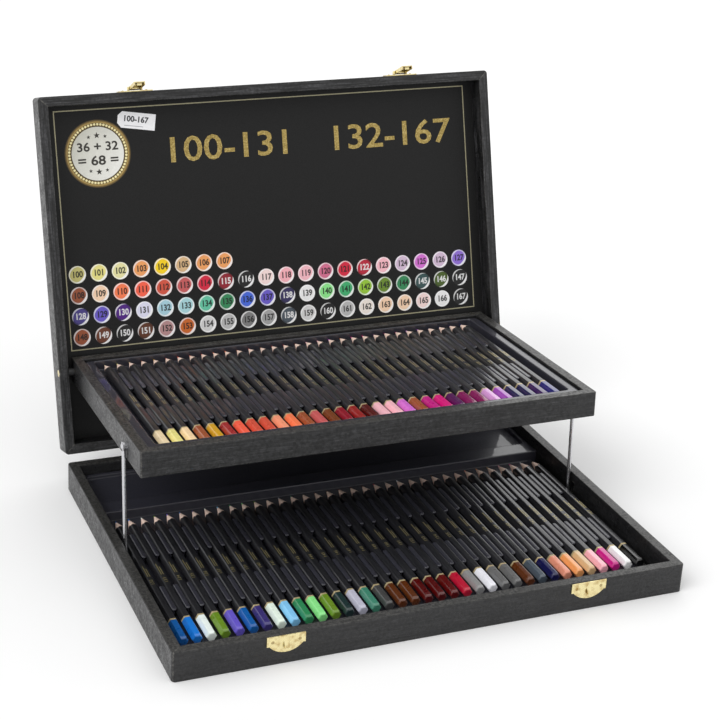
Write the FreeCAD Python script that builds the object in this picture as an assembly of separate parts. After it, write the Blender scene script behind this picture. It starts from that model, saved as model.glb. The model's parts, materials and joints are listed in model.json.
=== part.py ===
import FreeCAD, Part
import math
import os

from FreeCAD import Vector

# Pencil box: a shallow wooden case whose lid carries a second pencil tray.  Two steel rods link
# the tray to the base, so that the tray lifts forward and stays level as the lid opens.
# Millimetres and degrees.  X runs to the right, Y to the back, Z up.  The origin is the centre of
# the underside of the base.  The box is modelled with the lid open and the tray lifted.

# ---------------------------------------------------------------- case
box_width = 392.0
box_depth = 285.0
base_height = 23.0
lid_height = 20.0
case_wall = 8.0             # thickness of the base and lid walls
case_panel = 3.0            # bottom panel of the base and top panel of the lid
card_thickness = 0.8        # printed colour chart, glued under the lid panel
seam_gap = 0.3              # between the two rims when the box is shut
case_corner = 3.0           # radius of the upright corners
edge_easing = 0.7           # sanded edges of the wooden rims

# ---------------------------------------------------------------- tray
tray_side_gap = 5.0         # between the tray and the side walls of the shut case
tray_height = 20.0
tray_wall = 8.0
tray_panel = 3.0
tray_corner = 2.0
tray_edge_easing = 0.6

# ---------------------------------------------------------------- motion
lid_open_angle = 106.5      # from shut to fully open
tray_open_tilt = 3.3        # front edge of the lifted tray higher than its rear edge
hinge_setback = 4.0         # hinge pin behind the back face of the case
pivot_reach = 69.8          # tray pivot in front of the hinge pin, lid shut
pivot_rise = 3.2            # tray pivot above the hinge pin, lid shut
pivot_inset = 9.85          # tray pivot in front of the rear face of the tray
pivot_height = 11.2         # tray pivot above the underside of the tray
rod_head_inset = 37.3       # rod head behind the front face of the tray
rod_head_height = 9.9       # rod head above the underside of the tray
rod_foot_inset = 153.3      # rod foot behind the front face of the base
rod_foot_height = 8.0       # rod foot above the underside of the base
motion_steps = 24           # positions tried when the foot pocket is laid out

# ---------------------------------------------------------------- rods and pivots
rod_radius = 1.5
rod_bend = 3.5              # centre-line radius of the bend into the foot
rod_eye_radius = 3.4
rod_eye_thickness = 1.6
rod_foot_depth = 4.6        # how far the foot enters the base wall
rod_slot_clearance = 0.35
round_end_share = 0.98      # rounding of slot and rib ends, as a share of their half width
rod_washer_thickness = 1.0
rod_washer_radius = 3.2
rod_side_gap = 0.15         # side play of the eye between washer and screw head
running_fit = 0.05          # radial clearance of pins and screws in what turns on them
rod_screw_radius = 1.3
rod_screw_head_radius = 2.7
rod_screw_head = 1.2
rod_screw_grip = 6.0        # length of thread in the tray wall
pivot_pin_radius = 2.0
pivot_head_radius = 2.8      # flat pin head, sunk flush in the outer face of the lid wall
pivot_head_depth = 1.2
pivot_spacer_radius = 3.0
pivot_side_play = 0.3

# ---------------------------------------------------------------- pencils and inserts
pencil_flats = 7.0          # across the flats of the hexagon
pencil_length = 174.0
pencil_cone = 15.0          # sharpened length
pencil_point_radius = 0.4
pencil_butt_chamfer = 0.4
pencil_end_room = 0.3       # between the upper pencils and the ends of their pocket
pencil_edge_room = 0.5      # between the outermost lower pencils and the edge of their insert
lower_pencil_count = 36
upper_pencil_count = 32
lower_pencil_start = 30.5   # painted end behind the front face of the base
pencil_seat_gap = 0.1
insert_sheet = 1.0          # formed plastic sheet
sheet_rounding = 0.45       # rounded edges of the formed sheets
insert_fit = 0.4            # between the base insert and the walls around it
base_insert_floor = 6.0
base_insert_lip = 13.5      # top of its front lip
base_platform_gap = 7.5     # between the points of the lower pencils and the raised rear shelf
base_platform_top = 14.2
base_platform_front = 16.0  # flat front band of the shelf
base_platform_rim = 3.5     # flat band along its other sides
base_platform_recess = 3.5  # depth of the panel inside the bands
base_platform_corner = 4.0  # radius of the panel's corners
tray_insert_fit = 0.7       # between the tray insert and the walls around it
tray_insert_floor = 10.1    # above the underside of the tray
tray_insert_rim = 18.0      # top of its flange
tray_insert_flange = 7.0    # width of the flange in front and at the sides
tray_insert_corner = 4.0    # radius of the outer corners
tray_pocket_corner = 2.5    # radius of the pocket corners
rib_width = 1.8             # foot of the ribs that keep the pencils apart
rib_height = 6.5
rib_shoulder = 5.4          # height of the widest part of a rib, which hooks over the pencils
rib_side_gap = 0.2          # between that part and the pencils on both sides
rib_crown = 0.7             # rounding of the rib tops
front_rib_start = 37.0      # front band of ribs, behind the painted ends
front_rib_length = 33.0
rear_rib_start = 112.0      # rear band of ribs, behind the painted ends
rear_rib_length = 36.0

# ---------------------------------------------------------------- hinges
hinge_offset = 118.0        # hinge centre from the middle of the box
hinge_width = 30.0
hinge_leaf_height = 13.0
hinge_sheet = 1.0
hinge_knuckle_radius = 2.6
hinge_knuckle_count = 5
hinge_knuckle_gap = 0.2
hinge_pin_radius = 1.0
hinge_pin_overhang = 0.7
hinge_screw_offset = 9.5    # screws each side of the middle of a leaf
hinge_screw_drop = 7.6      # screws from the hinge pin line
hinge_screw_radius = 1.0
hinge_screw_head_radius = 2.1
hinge_screw_length = 6.5
screw_slot_width = 0.5
screw_slot_depth = 0.5
hinge_pin_chamfer = 0.25

# ---------------------------------------------------------------- latches
latch_offset = 116.0        # latch centre from the middle of the box
latch_plate_width = 28.0
latch_plate_side = 7.4      # straight side of the plate
latch_plate_step = 1.8      # shoulder between the side and the rounded end
latch_plate_height = 13.0
latch_sheet = 0.8
keeper_drop = 0.4           # keeper plate below the rim of the base
latch_plate_rise = 0.7      # lid plate above the rim of the lid
latch_nail_offset = 9.8
latch_nail_drop = 4.3       # nails from the straight edge of the plate
latch_nail_radius = 0.6
latch_nail_head_radius = 1.2
latch_nail_length = 6.0
latch_nail_head_rise = 0.6
hasp_pin_radius = 0.8
hasp_pin_stand = 2.6        # pin in front of the face of the case
hasp_pin_rise = 3.2         # pin above the straight edge of the lid plate
hasp_eye_radius = 1.5
hasp_width = 9.0
hasp_length = 16.5          # from the pin to the free end
hasp_sheet = 0.8
hasp_flange_gap = 0.4       # between the hasp's side flanges and the latch plates
hasp_ear_width = 1.3
hasp_side_gap = 0.25
hasp_tongue_width = 4.0
hasp_tongue_thickness = 1.1
hasp_tongue_rise = 1.2      # tongue above the free end of the hasp
hasp_rest_swing = 12.0      # hasp raised from its latched position
hook_width = 3.4
hook_height = 4.4
hook_stand = 2.2            # hook in front of the keeper plate
hook_clearance = 0.8        # between the tongue and the hook's ledge when latched

# ---------------------------------------------------------------- derived places
front_face = -box_depth / 2
back_face = box_depth / 2
case_half = box_width / 2
case_inner = case_half - case_wall
tray_half = case_inner - tray_side_gap
tray_inner = tray_half - tray_wall
tray_pocket_front = tray_wall + tray_insert_fit + tray_insert_flange
upper_pencil_start = tray_pocket_front + pencil_end_room
tray_pocket_rear = upper_pencil_start + pencil_length + pencil_end_room
tray_depth = tray_pocket_rear + insert_sheet + tray_insert_fit + tray_wall
lid_rim = base_height + seam_gap
lid_top = lid_rim + lid_height
card_face = lid_top - case_panel - card_thickness
hinge_y = back_face + hinge_setback
hinge_z = base_height + seam_gap / 2
rod_centre = tray_half + rod_washer_thickness + rod_side_gap + rod_eye_thickness / 2
base_insert_half = rod_centre - rod_radius - insert_fit
base_platform_start = front_face + lower_pencil_start + pencil_length + base_platform_gap
pencil_corner = pencil_flats / math.sqrt(3)
outer_pencil = base_insert_half - pencil_corner - pencil_edge_room
pencil_pitch = 2 * outer_pencil / (lower_pencil_count - 1)
X_AXIS = Vector(1, 0, 0)
Y_AXIS = Vector(0, 1, 0)
Z_AXIS = Vector(0, 0, 1)


# ---------------------------------------------------------------- linkage
def turned(y, z, angle):
    """Turns a (y, z) offset about the X axis."""
    c = math.cos(math.radians(angle))
    s = math.sin(math.radians(angle))
    return y * c - z * s, y * s + z * c


def pivot_at(closing):
    """Place of the tray pivot when the lid has closed by this angle from fully open."""
    y, z = turned(-pivot_reach, pivot_rise, closing - lid_open_angle)
    return hinge_y + y, hinge_z + z


def tray_point(inset, height, closing):
    """World place of a point of the tray, given behind its front face and above its underside."""
    pivot_y, pivot_z = pivot_at(closing)
    tilt = -tray_open_tilt * (1 - closing / lid_open_angle)
    y, z = turned(inset - (tray_depth - pivot_inset), height - pivot_height, tilt)
    return pivot_y + y, pivot_z + z


def heading(start, end):
    """Angle about the X axis that turns straight down into the way from start to end."""
    return math.degrees(math.atan2(end[0] - start[0], start[1] - end[1]))


rod_foot = (front_face + rod_foot_inset, rod_foot_height)
rod_head_open = tray_point(rod_head_inset, rod_head_height, 0.0)
rod_head_shut = tray_point(rod_head_inset, rod_head_height, lid_open_angle)
rod_length = math.dist(rod_head_open, rod_foot)
rod_open_heading = heading(rod_head_open, rod_foot)
rod_swing = heading(rod_head_shut, rod_foot) - rod_open_heading
tray_ratio = tray_open_tilt / lid_open_angle - 1    # turn of the tray in the lid per turn of the lid
rod_ratio = (rod_swing - tray_open_tilt) / lid_open_angle   # turn of a rod in the tray


def rod_foot_path():
    """Places of the rod foot from lid open to lid shut.  It wanders by a few millimetres."""
    places = []
    for step in range(motion_steps + 1):
        closing = lid_open_angle * step / motion_steps
        head_y, head_z = tray_point(rod_head_inset, rod_head_height, closing)
        angle = rod_open_heading + rod_swing * step / motion_steps
        y, z = turned(0.0, -rod_length, angle)
        places.append((head_y + y, head_z + z))
    return places


# ---------------------------------------------------------------- shapes
def block(x0, x1, y0, y1, z0, z1):
    return Part.makeBox(x1 - x0, y1 - y0, z1 - z0, Vector(x0, y0, z0))


def rod_along_x(x0, x1, y, z, radius):
    return Part.makeCylinder(radius, x1 - x0, Vector(x0, y, z), X_AXIS)


def prism(points, z0, z1):
    """Upright prism over an outline given as (x, y) points."""
    corners = [Vector(x, y, z0) for x, y in points]
    face = Part.Face(Part.makePolygon(corners + corners[:1]))
    return face.extrude(Vector(0, 0, z1 - z0))


def side_prism(points, x0, x1):
    """Prism along X over an outline given as (y, z) points."""
    corners = [Vector(x0, y, z) for y, z in points]
    face = Part.Face(Part.makePolygon(corners + corners[:1]))
    return face.extrude(Vector(x1 - x0, 0, 0))


def rounded_block(x0, x1, y0, y1, z0, z1, radius):
    """Block with rounded upright corners."""
    solid = block(x0, x1, y0, y1, z0, z1)
    upright = [edge for edge in solid.Edges if abs(edge.tangentAt(edge.FirstParameter).z) > 0.9]
    return solid.makeFillet(radius, upright)


def edges_at(solid, z):
    """Edges that lie flat at height z."""
    return [edge for edge in solid.Edges
            if abs(edge.BoundBox.ZMin - z) < 1e-4 and abs(edge.BoundBox.ZMax - z) < 1e-4]


def fused(solids):
    return solids[0].multiFuse(solids[1:]).removeSplitter().Solids[0]


def mirrored(shape):
    """The same piece on the other side of the box."""
    return shape.mirror(Vector(0, 0, 0), X_AXIS)


def mitred_walls(half, depth, z0, z1, wall, corner, easing):
    """Four walls of a frame, front face at y = 0, cut apart by 45 degree mitres."""
    frame = rounded_block(-half, half, 0, depth, z0, z1, corner)
    frame = frame.cut(block(wall - half, half - wall, wall, depth - wall, z0 - 1, z1 + 1))
    frame = frame.makeFillet(easing, edges_at(frame, z0) + edges_at(frame, z1))
    reach = wall + 1.0
    front = [(-half - 1, -1), (half + 1, -1), (half - reach, reach), (reach - half, reach)]
    right = [(half + 1, -1), (half + 1, depth + 1),
             (half - reach, depth - reach), (half - reach, reach)]
    wedges = {
        "front": front,
        "right": right,
        "back": [(x, depth - y) for x, y in front],
        "left": [(-x, y) for x, y in right],
    }
    return {side: frame.common(prism(outline, z0 - 1, z1 + 1)).Solids[0]
            for side, outline in wedges.items()}


def moved(shape, x=0.0, y=0.0, z=0.0):
    copy = shape.copy()
    copy.translate(Vector(x, y, z))
    return copy


def opened(shape):
    """Swings a piece of the shut lid to the open position."""
    copy = shape.copy()
    copy.rotate(Vector(0, hinge_y, hinge_z), X_AXIS, -lid_open_angle)
    return copy


def lifted(shape):
    """Places a piece of the tray, whose frame starts at the tray's lower front edge."""
    pivot_y, pivot_z = pivot_at(0.0)
    copy = moved(shape, y=pivot_inset - tray_depth, z=-pivot_height)
    copy.rotate(Vector(0, 0, 0), X_AXIS, -tray_open_tilt)
    copy.translate(Vector(0, pivot_y, pivot_z))
    return copy


nodes = {}


def keep(name, *solids):
    """Writes one piece, or a group of like pieces, to its own file."""
    shape = solids[0] if len(solids) == 1 else Part.makeCompound(list(solids))
    nodes[name] = shape
    shape.exportStep("parts/" + name + ".step")


# ---------------------------------------------------------------- small hardware
def dome_radius(rim_radius, rise):
    """Radius of the ball whose cap has this rim and this rise."""
    return (rim_radius ** 2 + rise ** 2) / (2 * rise)


def wood_screw(head_radius, shank_radius, length):
    """Slotted countersunk screw along -Z, its flat head at z = 0."""
    cone = head_radius - shank_radius
    head = Part.makeCone(head_radius, shank_radius, cone, Vector(0, 0, 0), -Z_AXIS)
    shank = Part.makeCylinder(shank_radius, length - cone, Vector(0, 0, -cone), -Z_AXIS)
    slot = block(-head_radius, head_radius, -screw_slot_width / 2, screw_slot_width / 2,
                 -screw_slot_depth, head_radius)
    return fused([head, shank]).cut(slot)


def nail():
    """Round-headed brass nail along -Z, the underside of its head at z = 0."""
    ball_radius = dome_radius(latch_nail_head_radius, latch_nail_head_rise)
    ball = Part.makeSphere(ball_radius, Vector(0, 0, latch_nail_head_rise - ball_radius))
    head = ball.common(Part.makeCylinder(latch_nail_head_radius, latch_nail_head_rise))
    shank = Part.makeCylinder(latch_nail_radius, latch_nail_length, Vector(0, 0, 0), -Z_AXIS)
    return fused([head, shank])


def facing_front(shape, x, z, y):
    """Turns a piece that points along -Z into the front face, its head towards -Y."""
    copy = shape.copy()
    copy.rotate(Vector(0, 0, 0), X_AXIS, 90)
    copy.translate(Vector(x, y, z))
    return copy


def facing_back(shape, x, z, y):
    """Turns a piece that points along -Z into the back face, its head towards +Y."""
    copy = shape.copy()
    copy.rotate(Vector(0, 0, 0), X_AXIS, -90)
    copy.translate(Vector(x, y, z))
    return copy


# ---------------------------------------------------------------- hinges
def hinge_leaf(x_middle, side):
    """One leaf of a butt hinge.  side is -1 for the base leaf and +1 for the lid leaf."""
    step = hinge_width / hinge_knuckle_count
    left = x_middle - hinge_width / 2
    root = hinge_z + side * (hinge_knuckle_radius - hinge_sheet)
    tip = root + side * hinge_leaf_height
    outer = hinge_z + side * hinge_knuckle_radius
    plate = block(left, left + hinge_width, back_face, back_face + hinge_sheet,
                  min(root, tip), max(root, tip))
    pieces = [plate]
    first = 0 if side < 0 else 1
    for index in range(first, hinge_knuckle_count, 2):
        x0 = left + index * step + hinge_knuckle_gap / 2
        x1 = x0 + step - hinge_knuckle_gap
        pieces.append(rod_along_x(x0, x1, hinge_y, hinge_z, hinge_knuckle_radius))
        pieces.append(block(x0, x1, back_face, hinge_y, min(root, outer), max(root, outer)))
    leaf = fused(pieces)
    bore = hinge_pin_radius + running_fit
    leaf = leaf.cut(rod_along_x(left - 1, left + hinge_width + 1, hinge_y, hinge_z, bore))
    for screw in hinge_screws(x_middle, side):
        leaf = leaf.cut(screw)
    return leaf


def hinge_screws(x_middle, side):
    screw = wood_screw(hinge_screw_head_radius, hinge_screw_radius, hinge_screw_length)
    level = hinge_z + side * hinge_screw_drop
    return [facing_back(screw, x_middle + offset, level, back_face + hinge_sheet)
            for offset in (-hinge_screw_offset, hinge_screw_offset)]


def hinge_pin(x_middle):
    reach = hinge_width / 2 + hinge_pin_overhang
    pin = rod_along_x(x_middle - reach, x_middle + reach, hinge_y, hinge_z, hinge_pin_radius)
    ends = [edge for edge in pin.Edges if edge.isClosed()]
    return pin.makeChamfer(hinge_pin_chamfer, ends)


# ---------------------------------------------------------------- latches
def latch_plate(x_middle, edge_z, side):
    """Plate with a straight edge at edge_z and a rounded end.  side -1 hangs, +1 stands."""
    half = latch_plate_width / 2
    shoulder = edge_z + side * latch_plate_side
    end = edge_z + side * latch_plate_height
    neck = half - latch_plate_step

    def at(x, z):
        return Vector(x_middle + x, front_face - latch_sheet, z)

    outline = Part.Wire([
        Part.makeLine(at(-half, edge_z), at(half, edge_z)),
        Part.makeLine(at(half, edge_z), at(half, shoulder)),
        Part.makeLine(at(half, shoulder), at(neck, shoulder)),
        Part.Arc(at(neck, shoulder), at(0, end), at(-neck, shoulder)).toShape(),
        Part.makeLine(at(-neck, shoulder), at(-half, shoulder)),
        Part.makeLine(at(-half, shoulder), at(-half, edge_z)),
    ])
    return Part.Face(outline).extrude(Vector(0, latch_sheet, 0))


def latch_nails(x_middle, edge_z, side):
    level = edge_z + side * latch_nail_drop
    return [facing_front(nail(), x_middle + offset, level, front_face - latch_sheet)
            for offset in (-latch_nail_offset, latch_nail_offset)]


keeper_edge = base_height - keeper_drop
lid_plate_edge = lid_rim + latch_plate_rise
hasp_pin_y = front_face - hasp_pin_stand
hasp_pin_z = lid_plate_edge + hasp_pin_rise
hasp_end_z = hasp_pin_z - hasp_length
tongue_top_z = hasp_end_z + hasp_tongue_rise + hasp_tongue_thickness
hook_ledge_z = tongue_top_z + hook_clearance


def keeper(x_middle):
    """Keeper plate with the hook that the hasp's tongue catches under."""
    plate = latch_plate(x_middle, keeper_edge, -1)
    face = front_face - latch_sheet
    nose = [(face, hook_ledge_z), (face - hook_stand, hook_ledge_z),
            (face - hook_stand, hook_ledge_z + hook_height / 4),
            (face, hook_ledge_z + hook_height)]
    hook = side_prism(nose, x_middle - hook_width / 2, x_middle + hook_width / 2)
    piece = fused([plate, hook])
    for pin in latch_nails(x_middle, keeper_edge, -1):
        piece = piece.cut(pin)
    return piece


def lid_latch_plate(x_middle):
    """Lid plate with two ears that carry the hasp pin."""
    pieces = [latch_plate(x_middle, lid_plate_edge, 1)]
    inner = hasp_width / 2 + hasp_side_gap
    for x0 in (x_middle + inner, x_middle - inner - hasp_ear_width):
        x1 = x0 + hasp_ear_width
        pieces.append(rod_along_x(x0, x1, hasp_pin_y, hasp_pin_z, hasp_eye_radius))
        pieces.append(block(x0, x1, hasp_pin_y, front_face - latch_sheet / 2,
                            hasp_pin_z - hasp_eye_radius, hasp_pin_z + hasp_eye_radius))
    piece = fused(pieces)
    reach = inner + hasp_ear_width + 1
    bore = rod_along_x(x_middle - reach, x_middle + reach, hasp_pin_y, hasp_pin_z, hasp_pin_radius)
    piece = piece.cut(bore)
    for pin in latch_nails(x_middle, lid_plate_edge, 1):
        piece = piece.cut(pin)
    return piece


def hasp_pin(x_middle):
    reach = hasp_width / 2 + hasp_side_gap + hasp_ear_width
    return rod_along_x(x_middle - reach, x_middle + reach, hasp_pin_y, hasp_pin_z, hasp_pin_radius)


def hasp(x_middle):
    """Pressed channel that turns on its pin, with a tongue across its free end."""
    half = hasp_width / 2
    outer = hasp_pin_y - hasp_eye_radius
    inner = front_face - latch_sheet - hasp_flange_gap
    eye = rod_along_x(x_middle - half, x_middle + half, hasp_pin_y, hasp_pin_z, hasp_eye_radius)
    web = block(x_middle - half, x_middle + half, outer, outer + hasp_sheet,
                hasp_end_z, hasp_pin_z)
    flange_top = hasp_pin_z - hasp_eye_radius
    pieces = [eye, web]
    for x0 in (x_middle - half, x_middle + half - hasp_sheet):
        pieces.append(block(x0, x0 + hasp_sheet, outer, inner, hasp_end_z, flange_top))
    tongue_z = hasp_end_z + hasp_tongue_rise
    pieces.append(block(x_middle - hasp_tongue_width / 2, x_middle + hasp_tongue_width / 2,
                        outer, inner, tongue_z, tongue_top_z))
    piece = fused(pieces)
    bore = hasp_pin_radius + running_fit
    piece = piece.cut(rod_along_x(x_middle - half - 1, x_middle + half + 1,
                                  hasp_pin_y, hasp_pin_z, bore))
    piece.rotate(Vector(0, hasp_pin_y, hasp_pin_z), X_AXIS, -hasp_rest_swing)
    return piece


# ---------------------------------------------------------------- rods and pivots
def foot_pocket():
    """Blind pocket in the right base wall that the rod foot turns and wanders in."""
    places = rod_foot_path()
    margin = rod_radius + rod_slot_clearance
    y0 = min(y for y, z in places) - margin
    y1 = max(y for y, z in places) + margin
    z0 = min(z for y, z in places) - margin
    z1 = max(z for y, z in places) + margin
    depth = rod_foot_depth + rod_slot_clearance
    pocket = block(case_inner - 1, case_inner + depth, y0, y1, z0, z1)
    along_x = [edge for edge in pocket.Edges
               if abs(edge.tangentAt(edge.FirstParameter).x) > 0.9]
    return pocket.makeFillet(margin * round_end_share, along_x)


def support_rod():
    """Right rod: round steel with a flattened eye at its head and a bent foot."""
    bend_start = Vector(rod_centre, 0, rod_bend - rod_length)
    bend_end = Vector(rod_centre + rod_bend, 0, -rod_length)
    inset = rod_bend * (1 - math.sqrt(0.5))
    bend_middle = Vector(rod_centre + inset, 0, inset - rod_length)
    head_end = Vector(rod_centre, 0, -rod_eye_radius / 2)
    foot_end = Vector(case_inner + rod_foot_depth, 0, -rod_length)
    path = Part.Wire([
        Part.makeLine(head_end, bend_start),
        Part.Arc(bend_start, bend_middle, bend_end).toShape(),
        Part.makeLine(bend_end, foot_end),
    ])
    section = Part.Wire([Part.makeCircle(rod_radius, head_end, Z_AXIS)])
    bar = path.makePipeShell([section], True, False)
    eye = rod_along_x(rod_centre - rod_eye_thickness / 2, rod_centre + rod_eye_thickness / 2,
                      0, 0, rod_eye_radius)
    # the round bar is pressed flat where it meets the eye
    flat = block(rod_centre - 2 * rod_radius, rod_centre - rod_eye_thickness / 2,
                 -rod_eye_radius, rod_eye_radius, -rod_eye_radius, rod_eye_radius)
    bar = bar.cut(flat).cut(moved(flat, x=2 * rod_radius + rod_eye_thickness / 2))
    piece = fused([eye, bar])
    bore = rod_screw_radius + running_fit
    piece = piece.cut(rod_along_x(tray_half, case_inner, 0, 0, bore))
    piece.rotate(Vector(0, 0, 0), X_AXIS, rod_open_heading)
    return moved(piece, y=rod_head_open[0], z=rod_head_open[1])


def rod_washer():
    """Washer between the tray wall and the rod's eye, in the tray's frame."""
    ring = rod_along_x(tray_half, tray_half + rod_washer_thickness,
                       rod_head_inset, rod_head_height, rod_washer_radius)
    return ring.cut(rod_along_x(tray_half - 1, case_inner, rod_head_inset, rod_head_height,
                                rod_screw_radius))


def rod_screw():
    """Round-headed screw through the rod's eye into the tray wall, in the tray's frame."""
    under_head = rod_centre + rod_eye_thickness / 2 + rod_side_gap
    shank = rod_along_x(tray_half - rod_screw_grip, under_head,
                        rod_head_inset, rod_head_height, rod_screw_radius)
    ball_radius = dome_radius(rod_screw_head_radius, rod_screw_head)
    centre = Vector(under_head + rod_screw_head - ball_radius, rod_head_inset, rod_head_height)
    head = Part.makeSphere(ball_radius, centre)
    head = head.common(rod_along_x(under_head, under_head + rod_screw_head,
                                   rod_head_inset, rod_head_height, rod_screw_head_radius))
    return fused([head, shank])


def pivot_pin():
    """Right tray pivot pin, driven through the lid wall from outside; shut position."""
    y, z = pivot_at(lid_open_angle)
    shank = rod_along_x(tray_inner, case_half, y, z, pivot_pin_radius)
    head = rod_along_x(case_half - pivot_head_depth, case_half, y, z, pivot_head_radius)
    return fused([shank, head])


def pivot_spacer():
    """Spacer on the pivot pin between the lid wall and the tray; shut position."""
    y, z = pivot_at(lid_open_angle)
    ring = rod_along_x(tray_half + pivot_side_play, case_inner, y, z, pivot_spacer_radius)
    return ring.cut(pivot_pin())


# ---------------------------------------------------------------- pencils
def pencil():
    """Hexagonal pencil along +Y, painted end at y = 0, lying on a flat at z = 0."""
    corner = pencil_corner
    outline = []
    for index in range(6):
        angle = math.radians(60 * index)
        outline.append(Vector(corner * math.cos(angle), 0, corner * math.sin(angle)))
    body = Part.Face(Part.makePolygon(outline + outline[:1])).extrude(Vector(0, pencil_length, 0))
    point = pencil_point_radius
    shoulder = pencil_length - pencil_cone
    envelope = [Vector(0, 0, 0), Vector(corner - pencil_butt_chamfer, 0, 0),
                Vector(corner, pencil_butt_chamfer, 0), Vector(corner, shoulder, 0),
                Vector(point, pencil_length - point, 0), Vector(0, pencil_length, 0)]
    turned_shape = Part.Face(Part.makePolygon(envelope + envelope[:1]))
    turned_shape = turned_shape.revolve(Vector(0, 0, 0), Y_AXIS, 360)
    return moved(body.common(turned_shape).Solids[0], z=pencil_flats / 2)


def pencil_row(count, start, floor):
    """A row of pencils in its insert, painted ends at y = start."""
    one = pencil()
    first = -pencil_pitch * (count - 1) / 2
    return [moved(one, x=first + pencil_pitch * index, y=start, z=floor + pencil_seat_gap)
            for index in range(count)]


def pencil_reach(height):
    """Half the width of a pencil at a height above its underside."""
    return pencil_corner - abs(height - pencil_flats / 2) / math.tan(math.radians(60))


def rib(start, length, floor):
    """Round-ended rib between two pencils: a narrow foot under a wider rounded crown."""
    foot_half = rib_width / 2
    crown_half = pencil_pitch / 2 - pencil_reach(rib_shoulder - pencil_seat_gap) - rib_side_gap
    overhang = crown_half - foot_half
    neck = floor + rib_shoulder - overhang
    top = floor + rib_height
    foot = rounded_block(-foot_half, foot_half, start + overhang, start + length - overhang,
                         floor - insert_sheet / 2, neck + overhang, foot_half * round_end_share)
    crown = rounded_block(-crown_half, crown_half, start, start + length, neck, top,
                          crown_half * round_end_share)
    crown = crown.makeChamfer(overhang, edges_at(crown, neck))
    crown = crown.makeFillet(rib_crown, edges_at(crown, top))
    return fused([foot, crown])


def rib_bands(count, start, floor):
    """Two bands of ribs, one rib in each space between two pencils."""
    ribs = []
    first = -pencil_pitch * count / 2
    for band_start, band_length in ((front_rib_start, front_rib_length),
                                    (rear_rib_start, rear_rib_length)):
        one = rib(start + band_start, band_length, floor)
        ribs += [moved(one, x=first + pencil_pitch * index) for index in range(1, count)]
    return ribs


# ---------------------------------------------------------------- inserts
def lower_nest():
    """Front part of the base insert: floor on a skirt, and the front lip."""
    half = base_insert_half
    sheet = insert_sheet
    y0 = front_face + case_wall + insert_fit
    y1 = base_platform_start + sheet
    nest = block(-half, half, y0, y1, case_panel, base_insert_floor)
    under = block(sheet - half, half - sheet, y0 + sheet, y1 - sheet,
                  case_panel - 1, base_insert_floor - sheet)
    lip = block(-half, half, y0, y0 + sheet, case_panel, base_insert_lip)
    return [nest.cut(under), lip]


def rear_shelf():
    """Raised rear part of the base insert with its sunk panel, hollow underneath."""
    half = case_inner - insert_fit
    sheet = insert_sheet
    y0 = base_platform_start
    y1 = back_face - case_wall - insert_fit
    panel_half = half - base_platform_rim
    panel_start = y0 + base_platform_front
    panel_end = y1 - base_platform_rim
    panel_floor = base_platform_top - base_platform_recess
    shelf = block(-half, half, y0, y1, case_panel, base_platform_top)
    shelf = shelf.cut(rounded_block(-panel_half, panel_half, panel_start, panel_end,
                                    panel_floor, base_platform_top + 1, base_platform_corner))
    shelf = shelf.makeFillet(sheet_rounding, edges_at(shelf, base_platform_top))
    under = block(sheet - half, half - sheet, y0 + sheet, y1 - sheet,
                  case_panel - 1, base_platform_top - sheet)
    bowl = rounded_block(-panel_half - sheet, panel_half + sheet, panel_start - sheet,
                         panel_end + sheet, panel_floor - sheet, base_platform_top,
                         base_platform_corner + sheet)
    return shelf.cut(under.cut(bowl))


def base_insert():
    """Formed sheet in the base: floor with ribs, front lip and a raised rear shelf."""
    start = front_face + lower_pencil_start
    ribs = rib_bands(lower_pencil_count, start, base_insert_floor)
    return fused(lower_nest() + [rear_shelf()] + ribs)


def tray_insert():
    """Formed sheet in the tray: flange, rounded pocket, floor with ribs; the tray's frame."""
    half = tray_inner - tray_insert_fit
    y0 = tray_wall + tray_insert_fit
    y1 = tray_pocket_rear + insert_sheet
    sheet = insert_sheet
    floor = tray_insert_floor
    pocket_half = half - tray_insert_flange
    outer = rounded_block(-half, half, y0, y1, tray_panel, tray_insert_rim, tray_insert_corner)
    pocket = rounded_block(-pocket_half, pocket_half, tray_pocket_front, tray_pocket_rear,
                           floor, tray_insert_rim + 1, tray_pocket_corner)
    shell = outer.cut(pocket)
    shell = shell.makeFillet(sheet_rounding, edges_at(shell, tray_insert_rim))
    under = rounded_block(sheet - half, half - sheet, y0 + sheet, y1 - sheet,
                          tray_panel - 1, floor - sheet, tray_insert_corner - sheet)
    return fused([shell.cut(under)] + rib_bands(upper_pencil_count, upper_pencil_start, floor))


# ---------------------------------------------------------------- base
def build_base():
    walls = mitred_walls(case_half, box_depth, 0, base_height, case_wall, case_corner, edge_easing)
    walls = {side: moved(wall, y=front_face) for side, wall in walls.items()}
    screws = hinge_screws(-hinge_offset, -1) + hinge_screws(hinge_offset, -1)
    nails = latch_nails(-latch_offset, keeper_edge, -1) + latch_nails(latch_offset, keeper_edge, -1)
    for screw in screws:
        walls["back"] = walls["back"].cut(screw)
    for pin in nails:
        walls["front"] = walls["front"].cut(pin)
    pocket = foot_pocket()
    walls["right"] = walls["right"].cut(pocket)
    walls["left"] = walls["left"].cut(mirrored(pocket))
    for side, wall in walls.items():
        keep("base_" + side + "_wall", wall)
    keep("base_bottom_panel", block(-case_inner, case_inner, front_face + case_wall,
                                    back_face - case_wall, 0, case_panel))
    keep("base_pencil_insert", base_insert())
    keep("lower_pencils", *pencil_row(lower_pencil_count, front_face + lower_pencil_start,
                                      base_insert_floor))
    keep("hinge_base_leaf_left", hinge_leaf(-hinge_offset, -1))
    keep("hinge_base_leaf_right", hinge_leaf(hinge_offset, -1))
    keep("hinge_pin_left", hinge_pin(-hinge_offset))
    keep("hinge_pin_right", hinge_pin(hinge_offset))
    keep("hinge_base_screws", *screws)
    keep("latch_keeper_left", keeper(-latch_offset))
    keep("latch_keeper_right", keeper(latch_offset))
    keep("latch_keeper_nails", *nails)


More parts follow.
